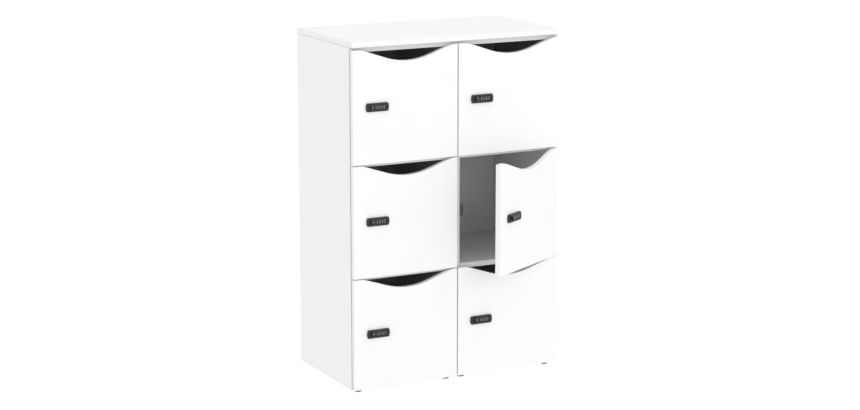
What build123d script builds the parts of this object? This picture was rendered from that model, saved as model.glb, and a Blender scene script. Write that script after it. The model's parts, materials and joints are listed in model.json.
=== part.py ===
"""Parcel locker: two board modules side by side, three compartments in each, under one cover top.

Millimetres, +Z up, fronts towards -Y. The origin is on the floor, below the middle of the box
that holds the locker with its one door ajar.
"""

import os
from math import cos, radians, sin, tan

from build123d import *

# Driving dimensions of the cabinet
WIDTH = 800.0
DEPTH = 440.0  # cover top, and closed doors with the carcass behind them
HEIGHT = 1210.0
ROWS = ("bottom", "middle", "top")
COLUMNS = ("left", "right")
BOARD = 18.0
COVER = 19.0
BACK = 8.0
FOOT_HEIGHT = 12.0

# Doors
DOOR_WIDTH = 396.0
DOOR_HEIGHT = 388.0
DOOR_GAP = 3.0  # between two doors, one above the other
DOOR_STANDOFF = 2.0  # between a door's back and the carcass
AJAR_ANGLE = 30.0  # degrees open at rest
AJAR = {("right", "middle"): AJAR_ANGLE}
PIVOT_INSET = 3.0  # from the door's hinge edge, and from its front

# Wave cut-out in the door's top edge
WAVE_MIDDLE = 206.0  # from the door's free edge
WAVE_DEPTH = 44.0
WAVE_SLOPE = 18.6  # degrees, of the straight flanks
WAVE_RADIUS = 250.0
WAVE_SHOULDER = 60.0

# Concealed hinges
HINGE_FROM_END = 70.0
CUP_RADIUS = 17.5
CUP_FROM_EDGE = 22.0
CUP_DEPTH = 12.5
CUP_SCREW_SPACING = 48.0
CUP_RIM = 2.0
CUP_SHEET = 1.0
EAR_WIDTH = 12.0
EAR_SPAN = 58.0
FLANGE = 1.2
CUP_SCREW_RADIUS = 1.8
CUP_SCREW_LENGTH = 10.0
CUP_SCREW_HEAD_RADIUS = 3.2
CUP_SCREW_HEAD = 0.6
PLATE_SCREW_SPACING = 32.0
PLATE_SETBACK = 37.0
PLATE_BASE = 3.0
PLATE_LENGTH = 20.0
PLATE_SPAN = 50.0
ARM_RISE = 16.0  # from the wall
ARM_LENGTH = 62.0
ARM_WIDTH = 12.0
ARM_SHEET = 1.5
NOSE_LENGTH = 8.0
NOSE_WIDTH = 10.0
NOSE_GAP = 6.0  # from the wall

# Combination lock
LOCK_WIDTH = 84.0
LOCK_HEIGHT = 29.0
LOCK_BOW = 3.0  # how far each short end bulges
LOCK_CORNER = 4.0
LOCK_EDGE = 2.5
LOCK_PROUD = 8.0
LOCK_FROM_EDGE = 89.6
LOCK_SCREW_OFFSET = 38.5
LOCK_SCREW_RADIUS = 2.0
LOCK_SCREW_LENGTH = 24.0
LOCK_SCREW_HEAD_RADIUS = 3.4
LOCK_SCREW_HEAD = 1.6
BODY_WIDTH = 70.0
BODY_HEIGHT = 22.0
BODY_DEPTH = 16.0
BARREL_RADIUS = 9.0
SPINDLE_OFFSET = -25.1  # from the lock's middle
FIRST_DIAL = -3.6
DIAL_PITCH = 9.0
DIALS = 4
DIAL_RADIUS = 8.0
DIAL_WIDTH = 6.0
DIAL_PROUD = 1.6
DIAL_PLAY = 0.6  # between the hubs of two dials
HUB_RADIUS = 3.5
WINDOW_HEIGHT = 14.0
WINDOW_DEPTH = 1.8
AXLE_RADIUS = 1.5
KNOB_RADIUS = 8.8
KNOB_BASE = 3.0
KNOB_LIFT = 0.3  # between the case and the knob
GRIP_RADIUS = 8.6
GRIP_WIDTH = 5.4
GRIP_RISE = 5.7
SPINDLE_RADIUS = 4.0
SPINDLE_END_RADIUS = 3.0
RUNNING = 0.05  # radial clearance of a shaft in its hole
FREE = 0.4  # clearance between parts that pass each other
CAM_LENGTH = 44.5
CAM_WIDTH = 16.0
CAM_THICKNESS = 3.0
CAM_SCREW_RADIUS = 1.5
CAM_SCREW_LENGTH = 8.0
CAM_SCREW_HEAD_RADIUS = 5.5
CAM_SCREW_HEAD = 2.5
STRIKE_SETBACK = 12.0
STRIKE_REACH = 20.0
STRIKE_LEG = 28.0
STRIKE_HEIGHT = 37.0
STRIKE_SCREW_SPACING = 20.0
STRIKE_SCREW_FROM_END = 10.0
SHEET = 2.0  # steel of the strikes and the clamp plates

# Fasteners and feet
HOLE_CLEARANCE = 0.1
HOLE_SPARE = 1.0
SCREW_RADIUS = 3.1
SCREW_LENGTH = 13.0
SCREW_HEAD_RADIUS = 4.5
SCREW_HEAD = 2.0
COVER_SCREW_RADIUS = 2.0
COVER_SCREW_LENGTH = 30.0
COVER_SCREW_HEAD_RADIUS = 4.0
COVER_SCREW_SPREAD = 130.0  # either side of a module's middle
COVER_SCREW_SETBACK = 60.0
CONNECTOR_RADIUS = 3.0
CONNECTOR_HEAD_RADIUS = 8.0
CONNECTOR_HEAD = 2.0
CONNECTOR_FROM_FRONT = 100.0
CONNECTOR_FROM_REAR = 80.0
CONNECTOR_HEIGHTS = (230.0, 990.0)
FOOT_RADIUS = 13.0
FOOT_INSET = 30.0
FOOT_SETBACK = 35.0
PEG_RADIUS = 4.0
PEG_LENGTH = 14.0
SOLE_CHAMFER = 1.5

# Places worked out from them
MODULE = WIDTH / 2
INNER = MODULE - 2 * BOARD
CARCASS_TOP = HEIGHT - COVER
PITCH = DOOR_HEIGHT + DOOR_GAP
PIVOT_FROM_FREE_EDGE = DOOR_WIDTH - PIVOT_INSET
OPEN_REACH = (
    PIVOT_FROM_FREE_EDGE * sin(radians(AJAR_ANGLE))
    + PIVOT_INSET * cos(radians(AJAR_ANGLE))
    - PIVOT_INSET
)
FRONT = (OPEN_REACH - DEPTH) / 2  # y of the closed doors' fronts
REAR = FRONT + DEPTH
CARCASS_FRONT = FRONT + BOARD + DOOR_STANDOFF
SIDE_GAP = (MODULE - DOOR_WIDTH) / 2
CAM_FRONT = BOARD + DOOR_STANDOFF + STRIKE_SETBACK + SHEET + FREE  # behind the door's front
CONNECTOR_PLACES = [
    (y, z)
    for y in (CARCASS_FRONT + CONNECTOR_FROM_FRONT, REAR - CONNECTOR_FROM_REAR)
    for z in CONNECTOR_HEIGHTS
]


def block(x, y, z):
    """A box from the lower to the upper limit on each axis."""
    size = [upper - lower for lower, upper in (x, y, z)]
    middle = [(upper + lower) / 2 for lower, upper in (x, y, z)]
    return Pos(*middle) * Box(*size)


def rod(start, direction, radius, length):
    """A round bar that leaves start along direction."""
    ends = (Align.CENTER, Align.CENTER, Align.MIN)
    return Plane(origin=start, z_dir=direction).location * Cylinder(radius, length, align=ends)


def save(name, *solids):
    """Writes one node, which may hold several separate solids."""
    shape = solids[0] if len(solids) == 1 else Compound(children=list(solids))
    export_step(shape, f"parts/{name}.step")


def module_left(column):
    """x of a module's left face."""
    return -MODULE + COLUMNS.index(column) * MODULE


def door_bottom(row):
    """z of a door's lower edge."""
    return FOOT_HEIGHT + ROWS.index(row) * PITCH


def hinge_heights(row):
    """z of the two hinges of a door."""
    low = door_bottom(row)
    return low + HINGE_FROM_END, low + DOOR_HEIGHT - HINGE_FROM_END


def lock_height(row):
    """z of a door's lock."""
    return door_bottom(row) + DOOR_HEIGHT / 2


# Fasteners of the carcass: (point under the head, direction of the shaft)


def system_screw_seats(column, row):
    """Seats of the screws of one compartment: two for each hinge plate, two for the strike."""
    left_wall = module_left(column) + BOARD
    right_wall = left_wall + INNER
    spread = PLATE_SCREW_SPACING / 2
    plates = [
        (Vector(right_wall - PLATE_BASE, CARCASS_FRONT + PLATE_SETBACK, z + side * spread), (1, 0, 0))
        for z in hinge_heights(row)
        for side in (-1, 1)
    ]
    strike_y = CARCASS_FRONT + STRIKE_SETBACK + STRIKE_LEG - STRIKE_SCREW_FROM_END
    strike_spread = STRIKE_SCREW_SPACING / 2
    strikes = [
        (Vector(left_wall + SHEET, strike_y, lock_height(row) + side * strike_spread), (-1, 0, 0))
        for side in (-1, 1)
    ]
    return plates + strikes


def screw_hole(seat, direction, radius, length):
    """The hole for a screw's shaft, slightly wider and deeper than it."""
    return rod(seat, direction, radius + HOLE_CLEARANCE, length + HOLE_SPARE)


def cover_screw_seats():
    """Seats of the screws under the top boards."""
    low = CARCASS_TOP - BOARD
    places = []
    for column in COLUMNS:
        middle = module_left(column) + MODULE / 2
        for x in (middle - COVER_SCREW_SPREAD, middle + COVER_SCREW_SPREAD):
            places += [
                Vector(x, y, low)
                for y in (CARCASS_FRONT + COVER_SCREW_SETBACK, REAR - COVER_SCREW_SETBACK)
            ]
    return places


def foot_places():
    """Middles of the feet, on the floor."""
    places = []
    for column in COLUMNS:
        left = module_left(column)
        for x in (left + FOOT_INSET, left + MODULE - FOOT_INSET):
            places += [Vector(x, y, 0) for y in (FRONT + FOOT_SETBACK, REAR - FOOT_SETBACK)]
    return places


# Carcass


def cover_top():
    board = block((-MODULE, MODULE), (FRONT, REAR), (CARCASS_TOP, HEIGHT))
    up = (0, 0, 1)
    holes = [
        screw_hole(seat, up, COVER_SCREW_RADIUS, COVER_SCREW_LENGTH)
        for seat in cover_screw_seats()
    ]
    return board - holes


def side_board(column, side):
    """One upright side, drilled for the fittings on its inner face."""
    left = module_left(column) + (0 if side == "left" else MODULE - BOARD)
    board = block((left, left + BOARD), (CARCASS_FRONT, REAR), (FOOT_HEIGHT, CARCASS_TOP))
    inward = -1 if side == "left" else 1
    holes = [
        screw_hole(seat, direction, SCREW_RADIUS, SCREW_LENGTH)
        for row in ROWS
        for seat, direction in system_screw_seats(column, row)
        if direction[0] == inward
    ]
    if column != side:
        start = -BOARD if column == "left" else 0
        holes += [
            rod((start, y, z), (1, 0, 0), CONNECTOR_RADIUS + HOLE_CLEARANCE, BOARD)
            for y, z in CONNECTOR_PLACES
        ]
    return board - holes


def end_boards():
    """Bottom and top board of each module, between its sides."""
    boards = []
    for column in COLUMNS:
        x = (module_left(column) + BOARD, module_left(column) + BOARD + INNER)
        y = (CARCASS_FRONT, REAR)
        bottom = block(x, y, (FOOT_HEIGHT, FOOT_HEIGHT + BOARD))
        top = block(x, y, (CARCASS_TOP - BOARD, CARCASS_TOP))
        up = (0, 0, 1)
        pegs = [screw_hole(foot, up, PEG_RADIUS, FOOT_HEIGHT + PEG_LENGTH) for foot in foot_places()]
        screws = [
            screw_hole(seat, up, COVER_SCREW_RADIUS, COVER_SCREW_LENGTH)
            for seat in cover_screw_seats()
        ]
        boards += [bottom - pegs, top - screws]
    return boards


def shelves():
    """Two fixed shelves in each module, centred on the gaps between the doors."""
    boards = []
    for column in COLUMNS:
        x = (module_left(column) + BOARD, module_left(column) + BOARD + INNER)
        for row in ROWS[1:]:
            middle = door_bottom(row) - DOOR_GAP / 2
            z = (middle - BOARD / 2, middle + BOARD / 2)
            boards.append(block(x, (CARCASS_FRONT, REAR - BACK), z))
    return boards


def back_panels():
    panels = []
    for column in COLUMNS:
        x = (module_left(column) + BOARD, module_left(column) + BOARD + INNER)
        z = (FOOT_HEIGHT + BOARD, CARCASS_TOP - BOARD)
        panels.append(block(x, (REAR - BACK, REAR), z))
    return panels


def hinge_arm(wall, z):
    """A folded steel arm: open towards the wall, with a nose that reaches into the cup."""
    y = CARCASS_FRONT
    half = ARM_WIDTH / 2
    top = wall - ARM_RISE
    floor = wall - PLATE_BASE
    outer = block((top, floor), (y, y + ARM_LENGTH), (z - half, z + half))
    inside = half - ARM_SHEET
    hollow = block(
        (top + ARM_SHEET, floor), (y + ARM_SHEET, y + ARM_LENGTH - ARM_SHEET), (z - inside, z + inside)
    )
    nose_half = NOSE_WIDTH / 2
    nose = block((top, wall - NOSE_GAP), (y - NOSE_LENGTH, y), (z - nose_half, z + nose_half))
    return outer - hollow + nose


def hinge_plate(wall, z):
    """The mounting plate under an arm, with a wing above and below it."""
    middle = CARCASS_FRONT + PLATE_SETBACK
    length = (middle - PLATE_LENGTH / 2, middle + PLATE_LENGTH / 2)
    span = (z - PLATE_SPAN / 2, z + PLATE_SPAN / 2)
    plate = block((wall - PLATE_BASE, wall), length, span)
    spread = PLATE_SCREW_SPACING / 2
    radius = SCREW_RADIUS + HOLE_CLEARANCE
    holes = [
        rod((wall - PLATE_BASE, middle, z + side * spread), (1, 0, 0), radius, PLATE_BASE)
        for side in (-1, 1)
    ]
    return plate - holes


def hinge_arms():
    solids = []
    for column in COLUMNS:
        wall = module_left(column) + BOARD + INNER
        for row in ROWS:
            for z in hinge_heights(row):
                solids += [hinge_arm(wall, z), hinge_plate(wall, z)]
    return solids


def lock_strike(column, row):
    """An angle of sheet steel: one leg on the wall, one that the cam turns behind."""
    wall = module_left(column) + BOARD
    y = CARCASS_FRONT + STRIKE_SETBACK
    z = (lock_height(row) - STRIKE_HEIGHT / 2, lock_height(row) + STRIKE_HEIGHT / 2)
    leg = block((wall, wall + SHEET), (y, y + STRIKE_LEG), z)
    flange = block((wall, wall + STRIKE_REACH), (y, y + SHEET), z)
    holes = [
        rod(seat - Vector(SHEET, 0, 0), (1, 0, 0), SCREW_RADIUS + HOLE_CLEARANCE, SHEET)
        for seat, direction in system_screw_seats(column, row)
        if direction[0] < 0
    ]
    return leg + flange - holes


def headed_screw(seat, direction, radius, length, head_radius, head):
    """A shaft that goes in along direction, under a round head."""
    back = Vector(*direction) * -head
    return rod(seat, direction, radius, length) + rod(seat + back, direction, head_radius, head)


def system_screws():
    return [
        headed_screw(
            seat, direction, SCREW_RADIUS, SCREW_LENGTH, SCREW_HEAD_RADIUS, SCREW_HEAD
        )
        for column in COLUMNS
        for row in ROWS
        for seat, direction in system_screw_seats(column, row)
    ]


def cover_screws():
    return [
        headed_screw(
            seat, (0, 0, 1), COVER_SCREW_RADIUS, COVER_SCREW_LENGTH, COVER_SCREW_HEAD_RADIUS, SCREW_HEAD
        )
        for seat in cover_screw_seats()
    ]


def module_connectors():
    """Sleeve bolts through both middle sides, with a flat head at each end."""
    bolts = []
    for y, z in CONNECTOR_PLACES:
        shaft = rod((-BOARD, y, z), (1, 0, 0), CONNECTOR_RADIUS, 2 * BOARD)
        left_head, right_head = (
            rod((x, y, z), (1, 0, 0), CONNECTOR_HEAD_RADIUS, CONNECTOR_HEAD)
            for x in (-BOARD - CONNECTOR_HEAD, BOARD)
        )
        bolts.append(left_head + shaft + right_head)
    return bolts


def glide_feet():
    """Plastic discs, each with a push-in peg."""
    feet = []
    for place in foot_places():
        disc = rod(place, (0, 0, 1), FOOT_RADIUS, FOOT_HEIGHT)
        sole = disc.edges().sort_by(Axis.Z)[0]
        peg = rod(place, (0, 0, 1), PEG_RADIUS, FOOT_HEIGHT + PEG_LENGTH)
        feet.append(chamfer(sole, SOLE_CHAMFER) + peg)
    return feet


# Door and its fittings, in the door's own frame: x from the free edge to the hinge edge,
# y from the front face backwards, z up from the lower edge.


def door_outline():
    """The front face: a rectangle whose top edge dips in a wide V, rounded at its three corners."""
    valley = WAVE_DEPTH + WAVE_RADIUS * (1 / cos(radians(WAVE_SLOPE)) - 1)
    reach = valley / tan(radians(WAVE_SLOPE))
    roundings = {
        (WAVE_MIDDLE, DOOR_HEIGHT - valley): WAVE_RADIUS,
        (WAVE_MIDDLE - reach, DOOR_HEIGHT): WAVE_SHOULDER,
        (WAVE_MIDDLE + reach, DOOR_HEIGHT): WAVE_SHOULDER,
    }
    with BuildSketch(Plane.XZ) as sketch:
        with BuildLine():
            Polyline(
                (0, DOOR_HEIGHT),
                (0, 0),
                (DOOR_WIDTH, 0),
                (DOOR_WIDTH, DOOR_HEIGHT),
                (WAVE_MIDDLE + reach, DOOR_HEIGHT),
                (WAVE_MIDDLE, DOOR_HEIGHT - valley),
                (WAVE_MIDDLE - reach, DOOR_HEIGHT),
                close=True,
            )
        make_face()
        for corner, radius in roundings.items():
            fillet(sketch.vertices().sort_by_distance(corner)[0], radius)
    return sketch.sketch


LOCK_MIDDLE = (LOCK_FROM_EDGE, 0, DOOR_HEIGHT / 2)
CUP_MIDDLES = [
    (DOOR_WIDTH - CUP_FROM_EDGE, z) for z in (HINGE_FROM_END, DOOR_HEIGHT - HINGE_FROM_END)
]


def cup_screw_seats(x, z):
    """Seats of a hinge cup's two screws, on its flange."""
    spread = CUP_SCREW_SPACING / 2
    return [Vector(x, BOARD + FLANGE, z + side * spread) for side in (-1, 1)]


def door_board():
    """The board, bored for the hinge cups and cut through for the lock."""
    board = extrude(door_outline(), -BOARD)
    x, _, z = LOCK_MIDDLE
    cuts = [
        block(
            (x - BODY_WIDTH / 2 - FREE, x + BODY_WIDTH / 2 + FREE),
            (0, BOARD),
            (z - BODY_HEIGHT / 2 - FREE, z + BODY_HEIGHT / 2 + FREE),
        )
    ]
    cuts += [
        rod((x + side * LOCK_SCREW_OFFSET, 0, z), (0, 1, 0), LOCK_SCREW_RADIUS + FREE, BOARD)
        for side in (-1, 1)
    ]
    for cup_x, cup_z in CUP_MIDDLES:
        cuts.append(
            rod(
                (cup_x, BOARD, cup_z), (0, -1, 0), CUP_RADIUS + HOLE_CLEARANCE, CUP_DEPTH + HOLE_CLEARANCE
            )
        )
        cuts += [
            screw_hole(seat, (0, -1, 0), CUP_SCREW_RADIUS, CUP_SCREW_LENGTH)
            for seat in cup_screw_seats(cup_x, cup_z)
        ]
    return board - cuts


def hinge_cup(x, z):
    """A pressed cup with an ear above and below it."""
    top = BOARD + FLANGE
    shell = rod((x, BOARD, z), (0, -1, 0), CUP_RADIUS, CUP_DEPTH)
    rim = rod((x, top, z), (0, -1, 0), CUP_RADIUS + CUP_RIM, FLANGE)
    ears = block(
        (x - EAR_WIDTH / 2, x + EAR_WIDTH / 2), (BOARD, top), (z - EAR_SPAN / 2, z + EAR_SPAN / 2)
    )
    hollow = rod((x, top, z), (0, -1, 0), CUP_RADIUS - CUP_SHEET, CUP_DEPTH + FLANGE - CUP_SHEET)
    holes = [screw_hole(seat, (0, -1, 0), CUP_SCREW_RADIUS, FLANGE) for seat in cup_screw_seats(x, z)]
    return shell + rim + ears - hollow - holes


def hinge_cups():
    solids = []
    for x, z in CUP_MIDDLES:
        solids.append(hinge_cup(x, z))
        solids += [
            headed_screw(
                seat,
                (0, -1, 0),
                CUP_SCREW_RADIUS,
                CUP_SCREW_LENGTH,
                CUP_SCREW_HEAD_RADIUS,
                CUP_SCREW_HEAD,
            )
            for seat in cup_screw_seats(x, z)
        ]
    return solids


# Lock pieces, in the lock's own frame: x and z from the lock's middle, y from the door's front.

DIAL_AXIS_Y = DIAL_RADIUS - DIAL_PROUD - LOCK_PROUD
POCKET_FRONT = WINDOW_DEPTH - LOCK_PROUD
DIAL_PLACES = [FIRST_DIAL + DIAL_PITCH * i for i in range(DIALS)]
HUB_WIDTH = DIAL_PITCH - DIAL_PLAY
POCKET = (
    DIAL_PLACES[0] - (HUB_WIDTH + DIAL_PLAY) / 2,
    DIAL_PLACES[-1] + (HUB_WIDTH + DIAL_PLAY) / 2,
)
BARREL_END = CAM_FRONT - FREE


def lock_outline():
    """A rectangle whose short ends bulge, with rounded corners."""
    end, half = LOCK_WIDTH / 2 - LOCK_BOW, LOCK_HEIGHT / 2
    with BuildSketch(Plane.XZ) as sketch:
        with BuildLine():
            Line((-end, half), (end, half))
            ThreePointArc((end, half), (end + LOCK_BOW, 0), (end, -half))
            Line((end, -half), (-end, -half))
            ThreePointArc((-end, -half), (-end - LOCK_BOW, 0), (-end, half))
        make_face()
        fillet(sketch.vertices(), LOCK_CORNER)
    return sketch.sketch


def lock_plate(y, thickness):
    """A plate of the lock's outline that reaches from y towards the front."""
    return Pos(0, y, 0) * extrude(lock_outline(), thickness)


def screw_clearances(y, direction, depth):
    """Holes for the lock's two screws."""
    return [
        rod((side * LOCK_SCREW_OFFSET, y, 0), direction, LOCK_SCREW_RADIUS + HOLE_CLEARANCE, depth)
        for side in (-1, 1)
    ]


def dial_pocket():
    """The hollow behind the face plate that the dials turn in."""
    radius = DIAL_RADIUS + FREE
    pocket = rod((POCKET[0], DIAL_AXIS_Y, 0), (1, 0, 0), radius, POCKET[1] - POCKET[0])
    return pocket & block(POCKET, (POCKET_FRONT, BODY_DEPTH), (-radius, radius))


def lock_body():
    """The moulded case: face plate, body in the door and barrel around the spindle."""
    plate = lock_plate(0, LOCK_PROUD)
    plate = fillet(plate.faces().sort_by(Axis.Y)[0].edges(), LOCK_EDGE)
    body = block(
        (-BODY_WIDTH / 2, BODY_WIDTH / 2), (0, BODY_DEPTH), (-BODY_HEIGHT / 2, BODY_HEIGHT / 2)
    )
    barrel = rod((SPINDLE_OFFSET, 0, 0), (0, 1, 0), BARREL_RADIUS, BARREL_END)
    bore = rod(
        (SPINDLE_OFFSET, -LOCK_PROUD, 0), (0, 1, 0), SPINDLE_RADIUS + RUNNING, LOCK_PROUD + BARREL_END
    )
    half = DIAL_WIDTH / 2 + FREE
    reach = WINDOW_HEIGHT / 2
    windows = [
        block((x - half, x + half), (-LOCK_PROUD, POCKET_FRONT), (-reach, reach)) for x in DIAL_PLACES
    ]
    screw_holes = screw_clearances(0, (0, -1, 0), LOCK_SCREW_LENGTH - BOARD - SHEET + HOLE_SPARE)
    return plate + body + barrel - bore - dial_pocket() - windows - screw_holes


def clamp_plate():
    """The steel plate behind the door that the lock is pulled against."""
    plate = lock_plate(BOARD + SHEET, SHEET)
    barrel = rod((SPINDLE_OFFSET, BOARD, 0), (0, 1, 0), BARREL_RADIUS + HOLE_CLEARANCE, SHEET)
    return plate - barrel - screw_clearances(BOARD, (0, 1, 0), SHEET)


def lock_case():
    """Case, dial axle, clamp plate and the two screws that hold them to the door."""
    axle = rod((POCKET[0], DIAL_AXIS_Y, 0), (1, 0, 0), AXLE_RADIUS, POCKET[1] - POCKET[0])
    screws = [
        headed_screw(
            Vector(side * LOCK_SCREW_OFFSET, BOARD + SHEET, 0),
            (0, -1, 0),
            LOCK_SCREW_RADIUS,
            LOCK_SCREW_LENGTH,
            LOCK_SCREW_HEAD_RADIUS,
            LOCK_SCREW_HEAD,
        )
        for side in (-1, 1)
    ]
    return [lock_body(), axle, clamp_plate(), *screws]


def knob_and_spindle():
    """The turning grip on its round base, and the spindle with its reduced end, tapped for the screw."""
    x = SPINDLE_OFFSET
    base_back = -LOCK_PROUD - KNOB_LIFT
    grip_back = base_back - KNOB_BASE
    base = rod((x, base_back, 0), (0, -1, 0), KNOB_RADIUS, KNOB_BASE)
    grip = rod((x, grip_back, 0), (0, -1, 0), GRIP_RADIUS, GRIP_RISE)
    grip &= block(
        (x - GRIP_WIDTH / 2, x + GRIP_WIDTH / 2),
        (grip_back - GRIP_RISE, grip_back),
        (-KNOB_RADIUS, KNOB_RADIUS),
    )
    spindle = rod((x, base_back, 0), (0, 1, 0), SPINDLE_RADIUS, CAM_FRONT - base_back)
    seat = rod((x, CAM_FRONT, 0), (0, 1, 0), SPINDLE_END_RADIUS, CAM_THICKNESS)
    thread = screw_hole(
        Vector(x, CAM_FRONT + CAM_THICKNESS, 0), (0, -1, 0), CAM_SCREW_RADIUS, CAM_SCREW_LENGTH
    )
    return base + grip + spindle + seat - thread


def lock_cam():
    """A round-ended steel tongue on the spindle's end, pointing down."""
    length = CAM_LENGTH - CAM_WIDTH / 2
    slot = Rot(0, 0, 90) * SlotCenterToCenter(length, CAM_WIDTH)
    tongue = extrude(Plane.XZ * Pos(0, -length / 2) * slot, -CAM_THICKNESS)
    hole = rod((0, 0, 0), (0, 1, 0), SPINDLE_END_RADIUS + HOLE_CLEARANCE, CAM_THICKNESS)
    return Pos(SPINDLE_OFFSET, CAM_FRONT, 0) * (tongue - hole)


def lock_knob():
    """Knob and spindle in one, the cam on the spindle's end and the cam screw."""
    screw = headed_screw(
        Vector(SPINDLE_OFFSET, CAM_FRONT + CAM_THICKNESS, 0),
        (0, -1, 0),
        CAM_SCREW_RADIUS,
        CAM_SCREW_LENGTH,
        CAM_SCREW_HEAD_RADIUS,
        CAM_SCREW_HEAD,
    )
    return [knob_and_spindle(), lock_cam(), screw]


def lock_dial(place):
    """A number wheel with its hub, bored for the axle."""
    wheel = rod((place - DIAL_WIDTH / 2, DIAL_AXIS_Y, 0), (1, 0, 0), DIAL_RADIUS, DIAL_WIDTH)
    start = (place - HUB_WIDTH / 2, DIAL_AXIS_Y, 0)
    hub = rod(start, (1, 0, 0), HUB_RADIUS, HUB_WIDTH)
    bore = rod(start, (1, 0, 0), AXLE_RADIUS + RUNNING, HUB_WIDTH)
    return wheel + hub - bore


def door_place(column, row):
    """Where a door's own frame lies, with the door turned open by its angle at rest."""
    free_edge = module_left(column) + SIDE_GAP
    pivot = Pos(free_edge + PIVOT_FROM_FREE_EDGE, FRONT + PIVOT_INSET, door_bottom(row))
    turn = Rot(0, 0, AJAR.get((column, row), 0))
    return pivot * turn * Pos(-PIVOT_FROM_FREE_EDGE, -PIVOT_INSET, 0)


def write_carcass():
    save("cover_top", cover_top())
    for column in COLUMNS:
        save(f"{column}_module_sides", *(side_board(column, side) for side in COLUMNS))
    save("end_boards", *end_boards())
    save("shelves", *shelves())
    save("back_panels", *back_panels())
    save("hinge_arms", *hinge_arms())
    save("lock_strikes", *(lock_strike(column, row) for column in COLUMNS for row in ROWS))
    save("system_screws", *system_screws())
    save("cover_screws", *cover_screws())
    save("module_connectors", *module_connectors())
    save("glide_feet", *glide_feet())


def write_doors():
    lock_frame = Pos(*LOCK_MIDDLE)
    fittings = {
        "door": [door_board()],
        "hinge_cups": hinge_cups(),
        "lock_case": [lock_frame * solid for solid in lock_case()],
        "lock_knob": [lock_frame * solid for solid in lock_knob()],
    }
    for number, place in enumerate(DIAL_PLACES, 1):
        fittings[f"dial_{number}"] = [lock_frame * lock_dial(place)]
    for column in COLUMNS:
        for row in ROWS:
            place = door_place(column, row)
            for name, solids in fittings.items():
                save(f"{column}_{row}_{name}", *(place * solid for solid in solids))


write_carcass()
write_doors()
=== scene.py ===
"""Parcel locker: two modules of white boards side by side under one cover top. Each of the six
doors hangs on cup hinges, has a wave-shaped mail slot and is shut by a number lock.

Metres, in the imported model's frame: fronts towards -Y, +Z up.
"""

import json
import math

import bmesh
import bpy
import numpy as np
from mathutils import Matrix, Vector


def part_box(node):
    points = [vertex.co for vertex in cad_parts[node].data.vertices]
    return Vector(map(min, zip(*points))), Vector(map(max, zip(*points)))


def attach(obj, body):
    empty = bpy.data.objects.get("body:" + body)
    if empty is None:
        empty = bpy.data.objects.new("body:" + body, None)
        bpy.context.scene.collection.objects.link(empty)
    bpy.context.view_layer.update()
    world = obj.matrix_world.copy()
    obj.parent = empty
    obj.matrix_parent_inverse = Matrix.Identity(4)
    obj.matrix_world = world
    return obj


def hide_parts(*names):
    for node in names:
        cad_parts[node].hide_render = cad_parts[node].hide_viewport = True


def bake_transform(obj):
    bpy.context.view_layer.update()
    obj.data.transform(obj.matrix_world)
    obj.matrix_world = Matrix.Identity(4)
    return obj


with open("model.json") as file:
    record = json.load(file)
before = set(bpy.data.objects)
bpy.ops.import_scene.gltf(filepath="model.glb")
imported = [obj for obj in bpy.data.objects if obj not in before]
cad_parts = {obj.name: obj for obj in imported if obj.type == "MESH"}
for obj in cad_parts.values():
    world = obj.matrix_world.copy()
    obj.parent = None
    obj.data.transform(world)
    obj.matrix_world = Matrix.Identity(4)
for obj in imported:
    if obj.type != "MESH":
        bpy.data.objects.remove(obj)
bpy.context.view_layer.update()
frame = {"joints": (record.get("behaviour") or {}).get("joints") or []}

MM = 0.001
COLUMNS = ("left", "right")
ROWS = ("bottom", "middle", "top")
DOORS = [f"{column}_{row}" for column in COLUMNS for row in ROWS]


# ---- Module sides ----
# Four upright boards of 18 mm chipboard, faced with white melamine. Their grey inner faces are
# painted shade, standing in for the dark inside of the compartments. ABS edging is glued on and
# scraped round; its grey is painted shade too, darkening the gaps between the doors. They carry
# all the other boards and the hinges.

BOARD = 18 * MM
ARRIS = 0.9 * MM
EDGING = 1.6 * MM
GLUE_LINE = 0.12 * MM

PEARL_GRAIN = 0.7 * MM  # the press plate's pits
PEARL_RELIEF = 0.012 * MM
HANDLING = 90 * MM  # broad, very faint unevenness of the gloss

FACING = {
    "up": [(1, 0, 0), (0, 1, 0), (0, 0, 1)],
    "down": [(1, 0, 0), (0, -1, 0), (0, 0, -1)],
    "front": [(1, 0, 0), (0, 0, 1), (0, -1, 0)],
    "back": [(-1, 0, 0), (0, 0, 1), (0, 1, 0)],
    "right": [(0, 1, 0), (0, 0, 1), (1, 0, 0)],
    "left": [(0, -1, 0), (0, 0, 1), (-1, 0, 0)],
}


def linear(code):
    """An sRGB hex colour as linear red, green, blue and alpha."""
    channel = np.array([int(code[i : i + 2], 16) for i in (1, 3, 5)]) / 255
    curve = np.where(channel <= 0.04045, channel / 12.92, ((channel + 0.055) / 1.055) ** 2.4)
    return (*curve.tolist(), 1.0)


def add(tree, kind, inputs, **settings):
    """Adds a shader node with its settings. Each input is given a value, or a socket to link to."""
    made = tree.nodes.new("ShaderNode" + kind)
    for name, value in settings.items():
        setattr(made, name, value)
    for name, value in inputs.items():
        if isinstance(value, bpy.types.NodeSocket):
            tree.links.new(value, made.inputs[name])
        else:
            made.inputs[name].default_value = value
    return made


def finish(name, ior, metallic, sockets=lambda tree, place: {}):
    """A material of one Principled shader. sockets makes its pattern nodes out of the object
    coordinates and returns what goes to each of the shader's inputs."""
    material = bpy.data.materials.new(name)
    material.use_nodes = True
    tree = material.node_tree
    shader = tree.nodes["Principled BSDF"]
    place = add(tree, "TexCoord", {}).outputs["Object"]
    inputs = {"IOR": ior, "Metallic": metallic, **sockets(tree, place)}
    for socket, value in inputs.items():
        if isinstance(value, bpy.types.NodeSocket):
            tree.links.new(value, shader.inputs[socket])
        else:
            shader.inputs[socket].default_value = value
    return material


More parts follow.
